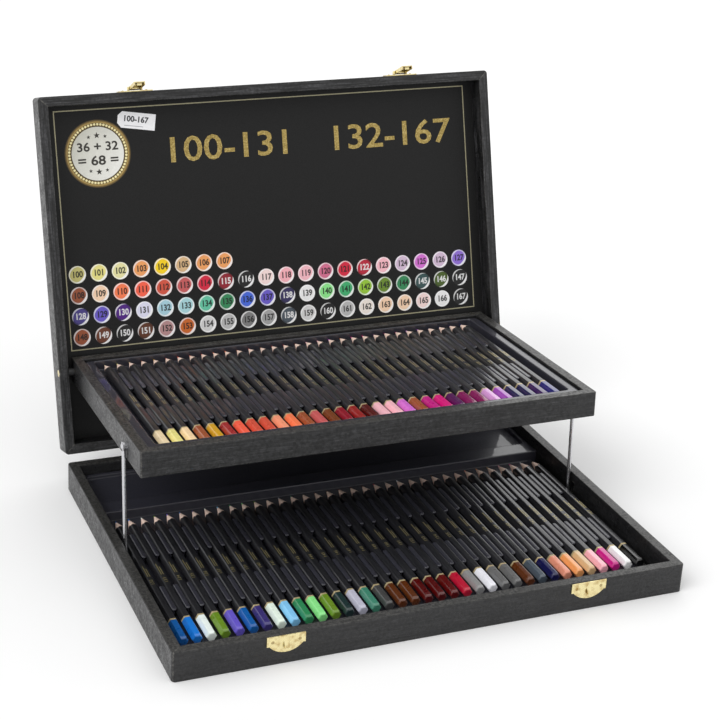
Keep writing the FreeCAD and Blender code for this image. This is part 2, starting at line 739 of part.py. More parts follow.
# ---------------------------------------------------------------- lid
def build_lid():
    walls = mitred_walls(case_half, box_depth, lid_rim, lid_top, case_wall, case_corner,
                         edge_easing)
    walls = {side: moved(wall, y=front_face) for side, wall in walls.items()}
    screws = hinge_screws(-hinge_offset, 1) + hinge_screws(hinge_offset, 1)
    nails = (latch_nails(-latch_offset, lid_plate_edge, 1)
             + latch_nails(latch_offset, lid_plate_edge, 1))
    for screw in screws:
        walls["back"] = walls["back"].cut(screw)
    for pin in nails:
        walls["front"] = walls["front"].cut(pin)
    walls["right"] = walls["right"].cut(pivot_pin())
    walls["left"] = walls["left"].cut(mirrored(pivot_pin()))
    for side, wall in walls.items():
        keep("lid_" + side + "_wall", opened(wall))
    inside = (-case_inner, case_inner, front_face + case_wall, back_face - case_wall)
    keep("lid_top_panel", opened(block(*inside, lid_top - case_panel, lid_top)))
    keep("colour_chart_card", opened(block(*inside, card_face, card_face + card_thickness)))
    keep("hinge_lid_leaf_left", opened(hinge_leaf(-hinge_offset, 1)))
    keep("hinge_lid_leaf_right", opened(hinge_leaf(hinge_offset, 1)))
    keep("hinge_lid_screws", *[opened(screw) for screw in screws])
    for name, x in (("left", -latch_offset), ("right", latch_offset)):
        keep("latch_lid_plate_" + name, opened(lid_latch_plate(x)))
        keep("latch_hasp_pin_" + name, opened(hasp_pin(x)))
        keep("latch_hasp_" + name, opened(hasp(x)))
    keep("latch_lid_nails", *[opened(pin) for pin in nails])
    keep("tray_pivot_pin_left", opened(mirrored(pivot_pin())))
    keep("tray_pivot_pin_right", opened(pivot_pin()))
    keep("tray_pivot_spacer_left", opened(mirrored(pivot_spacer())))
    keep("tray_pivot_spacer_right", opened(pivot_spacer()))


# ---------------------------------------------------------------- tray
def build_tray():
    walls = mitred_walls(tray_half, tray_depth, 0, tray_height, tray_wall, tray_corner,
                         tray_edge_easing)
    bearing = rod_along_x(tray_inner - 1, tray_half + 1, tray_depth - pivot_inset, pivot_height,
                          pivot_pin_radius + running_fit)
    walls["right"] = walls["right"].cut(bearing).cut(rod_screw())
    walls["left"] = walls["left"].cut(mirrored(bearing)).cut(mirrored(rod_screw()))
    for side in ("front", "back"):
        walls[side] = walls[side].cut(bearing).cut(mirrored(bearing))
    for side, wall in walls.items():
        keep("tray_" + side + "_wall", lifted(wall))
    keep("tray_bottom_panel", lifted(block(-tray_inner, tray_inner, tray_wall,
                                           tray_depth - tray_wall, 0, tray_panel)))
    keep("tray_pencil_insert", lifted(tray_insert()))
    keep("upper_pencils", *[lifted(one) for one in
                            pencil_row(upper_pencil_count, upper_pencil_start,
                                       tray_insert_floor)])
    keep("rod_screw_left", lifted(mirrored(rod_screw())))
    keep("rod_screw_right", lifted(rod_screw()))
    keep("rod_washer_left", lifted(mirrored(rod_washer())))
    keep("rod_washer_right", lifted(rod_washer()))


os.makedirs("parts", exist_ok=True)
build_base()
build_lid()
build_tray()
keep("support_rod_left", mirrored(support_rod()))
keep("support_rod_right", support_rod())

print("tray turns %.6f and rods turn %.6f per turn of the lid" % (tray_ratio, rod_ratio))
print("%d pieces in %d files" % (sum(len(shape.Solids) for shape in nodes.values()), len(nodes)))
for name, shape in nodes.items():
    if not shape.isValid():
        print("not valid:", name)
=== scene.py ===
import json
import math
import random

import bpy
from mathutils import Matrix, Vector


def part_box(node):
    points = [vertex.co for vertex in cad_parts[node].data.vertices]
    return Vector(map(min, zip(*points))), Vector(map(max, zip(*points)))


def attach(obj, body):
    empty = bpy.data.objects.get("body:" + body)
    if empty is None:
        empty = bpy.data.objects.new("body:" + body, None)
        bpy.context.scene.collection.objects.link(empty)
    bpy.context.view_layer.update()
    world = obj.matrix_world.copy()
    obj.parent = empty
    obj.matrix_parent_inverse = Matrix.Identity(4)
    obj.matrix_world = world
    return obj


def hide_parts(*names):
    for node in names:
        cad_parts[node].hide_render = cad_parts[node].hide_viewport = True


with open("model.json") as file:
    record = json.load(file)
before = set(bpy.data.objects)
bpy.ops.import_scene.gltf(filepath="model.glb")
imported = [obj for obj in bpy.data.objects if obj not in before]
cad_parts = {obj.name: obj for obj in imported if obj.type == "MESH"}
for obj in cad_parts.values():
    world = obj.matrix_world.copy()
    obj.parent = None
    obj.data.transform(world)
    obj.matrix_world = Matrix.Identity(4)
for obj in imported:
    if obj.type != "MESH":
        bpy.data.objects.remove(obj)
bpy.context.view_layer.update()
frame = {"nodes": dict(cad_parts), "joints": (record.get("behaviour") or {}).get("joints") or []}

bl_info = {
    "name": "Pencil drawer box",
    "version": (1, 0, 0),
    "blender": (4, 5, 0),
    "location": "3D View > Sidebar > Pencil box",
    "description": "Finishes, pencils, colour chart and studio for the pencil drawer box",
    "category": "Object",
}

# ---------------------------------------------------------------- places shared with the solids
MM = 0.001
JOINTS = {joint["name"]: joint for joint in frame["joints"]}
HINGE = Vector(JOINTS["lid_hinge"]["pos_m"])
TRAY_PIVOT = Vector(JOINTS["tray_pivot"]["pos_m"])
LID_OPEN = math.radians(JOINTS["lid_hinge"]["range_deg"][1])
TRAY_TILT = math.radians(3.3)       # front of the lifted tray higher than its rear
TRAY_PIVOT_INSET = 190.15 * MM      # tray pivot behind the front face of the tray
TRAY_PIVOT_HEIGHT = 11.2 * MM       # tray pivot above the underside of the tray
BOX_FRONT = -142.5 * MM             # front face of the case
CARD_FACE = 39.5 * MM               # printed face of the card above the table, lid shut
TRAY_PENCIL_SEAT = 10.2 * MM        # underside of the upper pencils above that of the tray
TRAY_PENCIL_START = 16.0 * MM       # painted ends of the upper pencils behind its front face
PENCIL_CORNER = 7.0 * MM / math.sqrt(3)     # axis of a pencil to a corner of its hexagon
LOWER_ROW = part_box("lower_pencils")
LOWER_COUNT = 36
UPPER_COUNT = 32
FIRST_NUMBER = 100
PENCIL_PITCH = (LOWER_ROW[1][0] - LOWER_ROW[0][0] - 2 * PENCIL_CORNER) / (LOWER_COUNT - 1)

# turns a place in the shut lid into its place in the open lid
OPENED_LID = (Matrix.Translation(HINGE) @ Matrix.Rotation(-LID_OPEN, 4, "X")
              @ Matrix.Translation(-HINGE))
# turns a place measured from the tray's lower front edge into its place in the lifted tray
LIFTED_TRAY = (Matrix.Translation(Vector((0, TRAY_PIVOT.y, TRAY_PIVOT.z)))
               @ Matrix.Rotation(-TRAY_TILT, 4, "X")
               @ Matrix.Translation(Vector((0, -TRAY_PIVOT_INSET, -TRAY_PIVOT_HEIGHT))))

# ---------------------------------------------------------------- colours
# standard named colours, as sRGB hex; every painted end and swatch is one of these pigments
PAINTS = {
    "black": "000000", "brown": "a52a2a", "burlywood": "deb887", "chocolate": "d2691e",
    "coral": "ff7f50", "crimson": "dc143c", "darkgrey": "a9a9a9", "darkred": "8b0000",
    "darksalmon": "e9967a", "darkslateblue": "483d8b", "darkslategrey": "2f4f4f",
    "deeppink": "ff1493", "dimgrey": "696969", "dodgerblue": "1e90ff", "firebrick": "b22222",
    "gainsboro": "dcdcdc", "ghostwhite": "f8f8ff", "gold": "ffd700", "goldenrod": "daa520",
    "grey": "808080", "honeydew": "f0fff0", "indianred": "cd5c5c", "indigo": "4b0082",
    "khaki": "f0e68c", "lavender": "e6e6fa", "lightblue": "add8e6", "lightgreen": "90ee90",
    "lightpink": "ffb6c1", "lightsalmon": "ffa07a", "lightskyblue": "87cefa", "linen": "faf0e6",
    "maroon": "800000", "mediumaquamarine": "66cdaa", "mediumorchid": "ba55d3",
    "mediumpurple": "9370db", "mediumseagreen": "3cb371", "mediumvioletred": "c71585",
    "midnightblue": "191970", "mintcream": "f5fffa", "mistyrose": "ffe4e1",
    "navajowhite": "ffdead", "olivedrab": "6b8e23", "orchid": "da70d6", "palegoldenrod": "eee8aa",
    "palevioletred": "db7093", "peachpuff": "ffdab9", "pink": "ffc0cb", "plum": "dda0dd",
    "powderblue": "b0e0e6", "purple": "800080", "rosybrown": "bc8f8f", "royalblue": "4169e1",
    "saddlebrown": "8b4513", "sandybrown": "f4a460", "seagreen": "2e8b57", "sienna": "a0522d",
    "silver": "c0c0c0", "slateblue": "6a5acd", "slategrey": "708090", "thistle": "d8bfd8",
    "tomato": "ff6347", "wheat": "f5deb3", "whitesmoke": "f5f5f5", "yellowgreen": "9acd32",
}
# share of black mixed into a pigment, by the word in front of its name
SHADES = {"": 0.0, "dim": 0.3, "deep": 0.6}
# painted ends, left to right
UPPER_PAINT = (
    "wheat khaki navajowhite sienna goldenrod brown tomato dim_tomato dim_tomato lightsalmon "
    "coral sienna indianred dim_saddlebrown deep_crimson dim_firebrick deep_maroon pink pink "
    "orchid sienna mediumvioletred dim_deeppink deep_purple deep_mediumvioletred "
    "deep_mediumvioletred plum dim_mediumorchid deep_midnightblue deep_midnightblue deep_indigo "
    "midnightblue"
).split()
LOWER_PAINT = (
    "deep_dodgerblue dim_dodgerblue mintcream olivedrab slateblue deep_dodgerblue "
    "dim_darkslateblue honeydew lightskyblue seagreen lightgreen olivedrab deep_darkslategrey "
    "dim_lavender deep_mediumaquamarine deep_dimgrey deep_saddlebrown deep_saddlebrown "
    "deep_maroon deep_maroon deep_darkred dim_crimson dim_darkgrey ghostwhite dimgrey dimgrey "
    "deep_saddlebrown deep_slategrey deep_midnightblue darksalmon sandybrown burlywood "
    "lightpink mediumvioletred whitesmoke black"
).split()
# printed colour chart, row by row
CHART_ROWS = (
    "dim_khaki khaki palegoldenrod sandybrown gold burlywood sandybrown sandybrown",
    "sienna peachpuff coral tomato dim_tomato indianred crimson deep_crimson black mistyrose "
    "lightpink pink palevioletred crimson dim_crimson pink thistle orchid thistle mediumpurple",
    "darkslateblue slateblue indigo lavender lightblue powderblue mediumaquamarine seagreen "
    "royalblue slateblue deep_darkslateblue whitesmoke lightgreen mediumseagreen yellowgreen "
    "olivedrab seagreen darkslategrey deep_olivedrab black",
    "sienna deep_sienna black deep_saddlebrown rosybrown chocolate gainsboro silver grey "
    "darkgrey deep_slategrey gainsboro black silver linen peachpuff peachpuff mistyrose "
    "whitesmoke black",
)


def linear(hex_colour):
    """Linear RGBA from a six-digit sRGB hex colour."""
    parts = [int(hex_colour[i:i + 2], 16) / 255 for i in (0, 2, 4)]
    return tuple(p / 12.92 if p <= 0.04045 else ((p + 0.055) / 1.055) ** 2.4
                 for p in parts) + (1.0,)


def mixed(a, b, share):
    """Linear colour a with a share of b mixed in."""
    return tuple(p * (1 - share) + q * share for p, q in zip(a[:3], b[:3])) + (1.0,)


def paint(name):
    """Linear RGBA of a pigment, with the black that the word in front of its name stands for."""
    shade, _, pigment = name.rpartition("_")
    return mixed(linear(PAINTS[pigment]), BLACK, SHADES[shade])


WHITE = linear("ffffff")
BLACK = linear("000000")


# ---------------------------------------------------------------- settings
def colour(name, description, hex_colour):
    """A colour setting, whose default is given in hex."""
    return bpy.props.FloatVectorProperty(name=name, description=description, subtype="COLOR",
                                         size=4, min=0, max=1, default=linear(hex_colour))


def length(name, description, value):
    """A size setting, in metres."""
    return bpy.props.FloatProperty(name=name, description=description, unit="LENGTH",
                                   subtype="DISTANCE", default=value, precision=5)


class BoxSettings(bpy.types.PropertyGroup):
    """Finishes of the case."""

    stain_dark: colour("Stain, pores", "Colour of the stained wood's open pores", "0d0d0e")
    stain_light: colour("Stain, wood", "Colour of the stained wood between its pores", "1f1f20")
    plastic: colour("Insert plastic", "Colour of the formed plastic inserts", "32323a")
    brass: colour("Brass", "Colour of the latches and hinges", "f4e6b0")
    steel: colour("Steel", "Colour of the rods and their screws", "cfcfd2")
    grain_length: length("Grain length", "Length of the wood's pores along the grain", 0.014)
    grain_width: length("Grain width", "Width of the wood's pores across the grain", 0.0006)
    # this colour also paints the highlight on the edges and the light on the upper rims
    wear: colour("Rubbed edges", "Colour of the edges where the stain is rubbed through", "73716b")


class PencilSettings(bpy.types.PropertyGroup):
    """Shape and finish of the pencils."""

    flats: length("Across flats", "Width of the hexagon across its flats", 0.007)
    length: length("Length", "Length of a pencil", 0.174)
    corner: length("Corner radius", "Rounding of the hexagon's corners", 0.0006)
    cone: length("Cone length", "Length of the sharpened cone", 0.015)
    lead_length: length("Lead length", "Length of bare lead at the point", 0.0028)
    dip_length: length("Dip length", "Length of the painted end", 0.024)
    band_width: length("Band width", "Width of the gold band behind the painted end", 0.0018)
    lacquer: colour("Lacquer", "Colour of the barrel", "212125")
    foil: colour("Foil", "Colour of the gold bands", "c9b78c")
    marks: colour("Marks", "Colour of the figures and rules on the barrels", "b9ad7c")
    cedar: colour("Cedar", "Colour of the sharpened wood", "ffe4d4")


class ChartSettings(bpy.types.PropertyGroup):
    """Printing on the card in the lid."""

    swatch_radius: length("Swatch radius", "Radius of a colour swatch", 0.0071)
    swatch_pitch: length("Swatch pitch", "Distance between swatches in a row", 0.01782)
    row_pitch: length("Row pitch", "Distance between rows of swatches", 0.0170)
    border_width: length("Border width", "Width of the gold line round the card", 0.0009)
    card: colour("Card", "Colour of the card", "171717")
    gold: colour("Gold ink", "Colour of the gold printing", "a68f50")
    ivory: colour("Ivory", "Colour of the medallion's centre", "d6d5c6")


class StageSettings(bpy.types.PropertyGroup):
    """Floor, light and camera."""

    floor: colour("Floor", "Colour of the floor", "fafafa")
    sky_strength: bpy.props.FloatProperty(
        name="Sky strength", description="Strength of the even white light", default=0.86, min=0)
    key_strength: bpy.props.FloatProperty(
        name="Key strength", description="Strength of the soft light from the upper left",
        default=1.1, min=0)
    softbox_strength: bpy.props.FloatProperty(
        name="Softbox strength", description="Power of the soft light behind the right corner",
        default=1.5, min=0, unit="POWER")
    focal_length: bpy.props.FloatProperty(
        name="Focal length", description="Focal length of the camera, in millimetres",
        default=87.77, min=1)


# ---------------------------------------------------------------- material helpers
TINT_LAYER = "tint"     # the meshes' colour layer, which paints and inks read


def add_node(tree, kind, inputs=None, **settings):
    """Adds a shader node, sets its properties, and fills its inputs with values or links."""
    node = tree.nodes.new(kind)
    for key, value in settings.items():
        setattr(node, key, value)
    for name, value in (inputs or {}).items():
        if isinstance(value, bpy.types.NodeSocket):
            tree.links.new(value, node.inputs[name])
        else:
            node.inputs[name].default_value = value
    return node


def new_material(name, **values):
    """A material with a plain shader whose sockets are set as given, spaces for underscores."""
    material = bpy.data.materials.new(name)
    material.use_nodes = True
    shader = material.node_tree.nodes["Principled BSDF"]
    for key, value in values.items():
        shader.inputs[key.replace("_", " ")].default_value = value
    return material, material.node_tree, shader


def ramp(tree, factor, stops):
    """Colour ramp over factor, with (position, colour) stops."""
    node = add_node(tree, "ShaderNodeValToRGB", {"Fac": factor})
    elements = node.color_ramp.elements
    while len(elements) < len(stops):
        elements.new(0.5)
    for element, (position, tint) in zip(elements, stops):
        element.position = position
        element.color = tint
    return node.outputs["Color"]


def spread(tree, factor, low, high, source=(0.0, 1.0)):
    """Maps factor from the source range to low..high."""
    node = add_node(tree, "ShaderNodeMapRange",
                    {"Value": factor, "From Min": source[0], "From Max": source[1],
                     "To Min": low, "To Max": high})
    return node.outputs["Result"]


def object_noise(tree, size, rotation=(0, 0, 0), detail=3.0, roughness=0.5):
    """Noise in object space, after a rotation; its features have one size or three, in metres."""
    if isinstance(size, float):
        size = (size,) * 3
    place = add_node(tree, "ShaderNodeTexCoord").outputs["Object"]
    turned = add_node(tree, "ShaderNodeMapping", {"Vector": place, "Rotation": rotation})
    scaled = add_node(tree, "ShaderNodeMapping",
                      {"Vector": turned.outputs["Vector"], "Scale": tuple(1 / s for s in size)})
    noise = add_node(tree, "ShaderNodeTexNoise",
                     {"Vector": scaled.outputs["Vector"], "Scale": 1.0, "Detail": detail,
                      "Roughness": roughness})
    return noise.outputs["Fac"]


def bump(tree, shader, height, distance, strength=1.0):
    """Relief of a height map, whose full height is the distance."""
    node = add_node(tree, "ShaderNodeBump",
                    {"Height": height, "Distance": distance, "Strength": strength})
    tree.links.new(node.outputs["Normal"], shader.inputs["Normal"])


def worn_edges(tree, radius):
    """0 on the faces, rising to 1 at their edges, where a rounded normal leans from the face's: the
    mask of the rubbed edges and of the painted highlight along them.
    """
    rounded = add_node(tree, "ShaderNodeBevel", {"Radius": radius}, samples=6)
    own = add_node(tree, "ShaderNodeNewGeometry")
    lean = add_node(tree, "ShaderNodeVectorMath", {0: rounded.outputs["Normal"],
                                                   1: own.outputs["Normal"]},
                    operation="DOT_PRODUCT")
    return spread(tree, lean.outputs["Value"], 1.0, 0.0, (0.78, 0.985))


def stained_wood(settings, name, along, tilt, rim_wear_and_top_light, figure):
    """Black stained hardwood with a rubbed satin finish: short open pores along the grain stay
    darker than the wood, and the sheen breaks up into fine specks. The edges are paled, partly as
    rubbed wear and partly as a painted highlight along them. Faces that point up, the upper rims,
    are paled in specks by the rim wear: partly rubbed wear where hands touch most, partly painted
    light on the tops. The figure is how far the longer streaks of the grain show through the stain.
    Pores and specks are drawn about twice as coarse as real ones, so that they show."""
    material, tree, shader = new_material(name, IOR=1.52, Specular_IOR_Level=0.42)
    size = [settings.grain_width] * 3
    size[along] = settings.grain_length
    rotation = (tilt, 0, 0)
    pores = object_noise(tree, size, rotation, detail=4.0, roughness=0.65)
    speckle = object_noise(tree, 0.0021, rotation, detail=4.0, roughness=0.65)
    patches = object_noise(tree, 0.009, rotation, detail=3.0, roughness=0.6)
    size = [0.0013] * 3
    size[along] = 0.03
    streaks = object_noise(tree, size, rotation, detail=3.0, roughness=0.6)
    wood = ramp(tree, pores, ((0.36, tuple(settings.stain_dark)),
                              (0.6, tuple(settings.stain_light))))
    shade = add_node(tree, "ShaderNodeMath",
                     {0: spread(tree, speckle, 0.5, 1.9, (0.36, 0.64)),
                      1: spread(tree, streaks, 1 - 0.75 * figure, 1 + 2.6 * figure, (0.42, 0.66))},
                     operation="MULTIPLY")
    tinted = add_node(tree, "ShaderNodeMix", {"Factor": 1.0, 6: wood, 7: shade.outputs[0]},
                      data_type="RGBA", blend_type="MULTIPLY")
    broken = spread(tree, speckle, 0.08, 0.8, (0.42, 0.62))
    # faces that point up are paled in specks: partly rubbed wear, partly painted light falling on
    # the tops
    upward = add_node(tree, "ShaderNodeSeparateXYZ",
                      {"Vector": add_node(tree, "ShaderNodeTexCoord").outputs["Normal"]})
    top_light_and_handling = spread(tree, upward.outputs["Z"], 0.0, rim_wear_and_top_light, (0.8, 0.98))
    most = add_node(tree, "ShaderNodeMath", {0: worn_edges(tree, 0.0016), 1: top_light_and_handling},
                    operation="MAXIMUM")
    wear = add_node(tree, "ShaderNodeMath", {0: most.outputs[0], 1: broken},
                    operation="MULTIPLY")
    # edges and tops are paled towards the wear colour: rubbed wear with a painted highlight on them
    rubbed_and_lit = add_node(tree, "ShaderNodeMix",
                      {"Factor": wear.outputs[0], 6: tinted.outputs[2], 7: tuple(settings.wear)},
                      data_type="RGBA")
    tree.links.new(rubbed_and_lit.outputs[2], shader.inputs["Base Color"])
    # the sheen changes in patches, and each pore is matter than the rubbed wood round it
    sheen = spread(tree, patches, -0.07, 0.07, (0.35, 0.65))
    grit = spread(tree, speckle, 0.5, 0.26, (0.34, 0.66))
    rough = add_node(tree, "ShaderNodeMath", {0: grit, 1: sheen}, operation="ADD")
    tree.links.new(rough.outputs[0], shader.inputs["Roughness"])
    relief = add_node(tree, "ShaderNodeMath", {0: pores, 1: speckle}, operation="ADD")
    bump(tree, shader, relief.outputs[0], 0.00012, 0.7)
    return material


def formed_plastic(settings):
    """Vacuum-formed black sheet: a clear gloss skin over a duller body, faintly wavy, with every
    edge drawn round by the mould. Scuffs are drawn coarser than real ones, so that they show."""
    material, tree, shader = new_material("formed_plastic", Base_Color=tuple(settings.plastic),
                                          IOR=1.55, Specular_IOR_Level=0.25, Coat_Weight=0.8,
                                          Coat_IOR=1.5)
    waves = object_noise(tree, 0.014, detail=2.0)
    scuffs = object_noise(tree, 0.0016, detail=4.0)
    tree.links.new(spread(tree, scuffs, 0.32, 0.46, (0.35, 0.7)), shader.inputs["Roughness"])
    tree.links.new(spread(tree, scuffs, 0.04, 0.1, (0.35, 0.7)),
                   shader.inputs["Coat Roughness"])
    drawn = add_node(tree, "ShaderNodeBevel", {"Radius": 0.0019}, samples=8)
    wavy = add_node(tree, "ShaderNodeBump", {"Height": waves, "Distance": 0.0004, "Strength": 0.3,
                                             "Normal": drawn.outputs["Normal"]})
    for socket in ("Normal", "Coat Normal"):
        tree.links.new(wavy.outputs["Normal"], shader.inputs[socket])
    return material


def pressed_brass(name, tint):
    """Brass-plated pressed sheet: bright, with soft rolled-in streaks, and darkened brown round the
    nails and under the folds: painted shade in the nooks, partly tarnish."""
    material, tree, shader = new_material(name, Metallic=1.0)
    streaks = object_noise(tree, (0.0012, 0.004, 0.0012), detail=3.0)
    tarnish = object_noise(tree, 0.004, detail=3.0)
    clean = ramp(tree, tarnish, ((0.32, mixed(tint, linear("a37c36"), 0.6)), (0.56, tint)))
    # painted shade: the brass darkens where the occlusion node finds nooks, with some tarnish
    nooks = add_node(tree, "ShaderNodeAmbientOcclusion", {"Distance": 0.0022}, samples=8)
    nook_shade_and_tarnish = spread(tree, nooks.outputs["AO"], 0.85, 0.0, (0.35, 0.85))
    shaded_in_nooks = add_node(tree, "ShaderNodeMix", {"Factor": nook_shade_and_tarnish, 6: clean, 7: linear("4a3618")},
                      data_type="RGBA")
    tree.links.new(shaded_in_nooks.outputs[2], shader.inputs["Base Color"])
    tree.links.new(spread(tree, streaks, 0.2, 0.38, (0.3, 0.7)), shader.inputs["Roughness"])
    bump(tree, shader, streaks, 0.00003, 0.22)
    return material


def bright_steel(settings):
    """Drawn and nickel-plated steel wire: bright, with fine drawing lines along its length, much
    coarser here than real ones, so that they show."""
    material, tree, shader = new_material("bright_steel", Metallic=1.0,
                                          Base_Color=tuple(settings.steel))
    lines = object_noise(tree, (0.0004, 0.0004, 0.02), detail=2.0)
    tree.links.new(spread(tree, lines, 0.16, 0.34, (0.3, 0.7)), shader.inputs["Roughness"])
    bump(tree, shader, lines, 0.00002, 0.4)
    return material


def black_nylon():
    """Moulded black nylon: dull, with a fine pitted skin, drawn coarser than a real one. Its black
    is partly the spacer's own and partly painted shade for the dark gap it sits in.
    """
    material, tree, shader = new_material("black_nylon", Base_Color=linear("1b1b1c"), IOR=1.53)
    pits = object_noise(tree, 0.0007, detail=3.0)
    tree.links.new(spread(tree, pits, 0.45, 0.65, (0.35, 0.65)), shader.inputs["Roughness"])
    bump(tree, shader, pits, 0.00003, 0.4)
    return material


def printed_card(settings):
    """Printed board with a satin varnish: nearly even black, with a faint paper tooth, drawn
    coarser than a real one."""
    material, tree, shader = new_material("printed_card", IOR=1.45, Specular_IOR_Level=0.25)
    tooth = object_noise(tree, 0.0009, detail=3.0)
    card = tuple(settings.card)
    tree.links.new(ramp(tree, tooth, ((0.3, mixed(card, BLACK, 0.15)),
                                      (0.7, mixed(card, WHITE, 0.006)))),
                   shader.inputs["Base Color"])
    tree.links.new(spread(tree, tooth, 0.5, 0.62, (0.3, 0.7)), shader.inputs["Roughness"])
    bump(tree, shader, tooth, 0.00002, 0.3)
    return material


def tinted_paint(name, roughness, coat=0.0):
    """Paint or ink that takes each face's own tint; its gloss varies a little like a dip's."""
    material, tree, shader = new_material(name, IOR=1.48, Coat_Weight=coat, Coat_Roughness=0.06)
    tint = add_node(tree, "ShaderNodeAttribute", attribute_name=TINT_LAYER)
    mottle = object_noise(tree, 0.0035, detail=2.0)
    shade = spread(tree, mottle, 0.97, 1.03, (0.3, 0.7))
    mottled = add_node(tree, "ShaderNodeMix",
                       {"Factor": 1.0, 6: tint.outputs["Color"], 7: shade},
                       data_type="RGBA", blend_type="MULTIPLY")
    tree.links.new(mottled.outputs[2], shader.inputs["Base Color"])
    tree.links.new(spread(tree, mottle, roughness - 0.04, roughness + 0.05, (0.3, 0.7)),
                   shader.inputs["Roughness"])
    return material


def foil(name, tint, roughness, metallic):
    """Pale gold stamped foil or ink, a little broken up at its edges: the more metallic, the more
    it takes the light and dark round it."""
    material, tree, shader = new_material(name, Metallic=metallic)
    breaks = object_noise(tree, 0.0007, detail=4.0)
    tree.links.new(ramp(tree, breaks, ((0.3, mixed(tint, BLACK, 0.3)), (0.5, tint))),
                   shader.inputs["Base Color"])
    tree.links.new(spread(tree, breaks, roughness - 0.06, roughness + 0.1, (0.3, 0.7)),
                   shader.inputs["Roughness"])
    return material


def gold_ink(settings):
    """Gold printing ink: bronze flakes in varnish, duller than foil and warmer in the dips. Real
    flakes are too fine to see, so they are drawn a millimetre wide."""
    material, tree, shader = new_material("gold_ink", Metallic=0.55, IOR=1.45)
    flakes = object_noise(tree, 0.0011, detail=4.0)
    gold = tuple(settings.gold)
    tree.links.new(ramp(tree, flakes, ((0.3, mixed(gold, linear("5f5024"), 0.55)),
                                       (0.5, gold),
                                       (0.72, mixed(gold, linear("f0dc98"), 0.5)))),
                   shader.inputs["Base Color"])
    tree.links.new(spread(tree, flakes, 0.34, 0.5, (0.3, 0.7)), shader.inputs["Roughness"])
    return material


def satin_lacquer(settings):
    """Black satin lacquer over cedar: an even coat that follows the wood's fine grain."""
    material, tree, shader = new_material("satin_lacquer", IOR=1.5, Coat_Weight=0.6,
                                          Coat_Roughness=0.12)
    grain = object_noise(tree, (0.0006, 0.03, 0.0006), detail=3.0)
    lacquer = tuple(settings.lacquer)
    tree.links.new(ramp(tree, grain, ((0.3, mixed(lacquer, BLACK, 0.35)), (0.7, lacquer))),
                   shader.inputs["Base Color"])
    tree.links.new(spread(tree, grain, 0.34, 0.5, (0.3, 0.7)), shader.inputs["Roughness"])
    bump(tree, shader, grain, 0.00003, 0.4)
    return material


def cut_cedar(settings):
    """Freshly cut cedar: pale, with fine darker growth lines along the pencil."""
    material, tree, shader = new_material("cut_cedar", IOR=1.45, Specular_IOR_Level=0.25,
                                          Roughness=0.7)
    grain = object_noise(tree, (0.0005, 0.012, 0.0005), detail=4.0)
    cedar = tuple(settings.cedar)
    tree.links.new(ramp(tree, grain, ((0.34, mixed(cedar, linear("b07a5c"), 0.3)),
                                      (0.56, cedar))), shader.inputs["Base Color"])
    bump(tree, shader, grain, 0.00004, 0.5)
    return material


def dress(material, *names):
    """Gives CAD nodes one material in every slot."""
    for name in names:
        mesh = frame["nodes"][name].data
        if not mesh.materials:
            mesh.materials.append(material)
        for index in range(len(mesh.materials)):
            mesh.materials[index] = material


# ---------------------------------------------------------------- mesh helpers
class Builder:
    """Collects faces with a material index and a colour, and turns them into one object."""

    def __init__(self):
        self.points = []
        self.faces = []
        self.materials = []
        self.tints = []

    def add(self, points, faces, material=0, tint=WHITE):
        start = len(self.points)
        self.points.extend(points)
        for face in faces:
            self.faces.append([start + index for index in face])
            self.materials.append(material)
            self.tints.append(tint)

    def finish(self, name, materials, smooth_angle=None):
        mesh = bpy.data.meshes.new(name)
        mesh.from_pydata(self.points, [], self.faces)
        for material in materials:
            mesh.materials.append(material)
        mesh.polygons.foreach_set("material_index", self.materials)
        layer = mesh.color_attributes.new(TINT_LAYER, "FLOAT_COLOR", "CORNER")
        values = []
        for polygon, tint in zip(mesh.polygons, self.tints):
            values.extend(list(tint) * polygon.loop_total)
        layer.data.foreach_set("color", values)
        mesh.update()
        made = bpy.data.objects.new(name, mesh)
        bpy.context.scene.collection.objects.link(made)
        if smooth_angle is not None:
            mesh.polygons.foreach_set("use_smooth", [True] * len(mesh.polygons))
            mesh.set_sharp_from_angle(angle=smooth_angle)
        return made


def text_mesh(body, weight):
    """Flat outline of plain figures one unit tall, centred on the origin and thickened by the
    weight on each side of a stroke: (points, faces)."""
    curve = bpy.data.curves.new("figures", "FONT")
    curve.body = body
    curve.offset = weight
    curve.align_x = "CENTER"
    curve.align_y = "CENTER"
    curve.resolution_u = 3
    holder = bpy.data.objects.new("figures", curve)
    bpy.context.scene.collection.objects.link(holder)
    graph = bpy.context.evaluated_depsgraph_get()
    mesh = bpy.data.meshes.new_from_object(holder.evaluated_get(graph))
    points = [vertex.co.copy() for vertex in mesh.vertices]
    faces = [list(polygon.vertices) for polygon in mesh.polygons]
    bpy.data.objects.remove(holder)
    bpy.data.curves.remove(curve)
    bpy.data.meshes.remove(mesh)
    return points, faces


FIGURES = {}


def figures(body, size, weight=0.0):
    """Figures of a size, whose outline is made once for each text and weight."""
    if (body, weight) not in FIGURES:
        FIGURES[body, weight] = text_mesh(body, weight)
    points, faces = FIGURES[body, weight]
    return [point * size for point in points], faces


# ---------------------------------------------------------------- pencils
HEX_SIDES = 6
COLUMN_STEPS = (-0.42, -0.25, -0.08, 0.08, 0.25, 0.42, 0.5)     # shares of a side's angle
STAMP_LIFT = 0.00003        # stamped figures stand this proud of the barrel
LACQUER, PAINT, FOIL, CEDAR, LEAD, MARK = range(6)


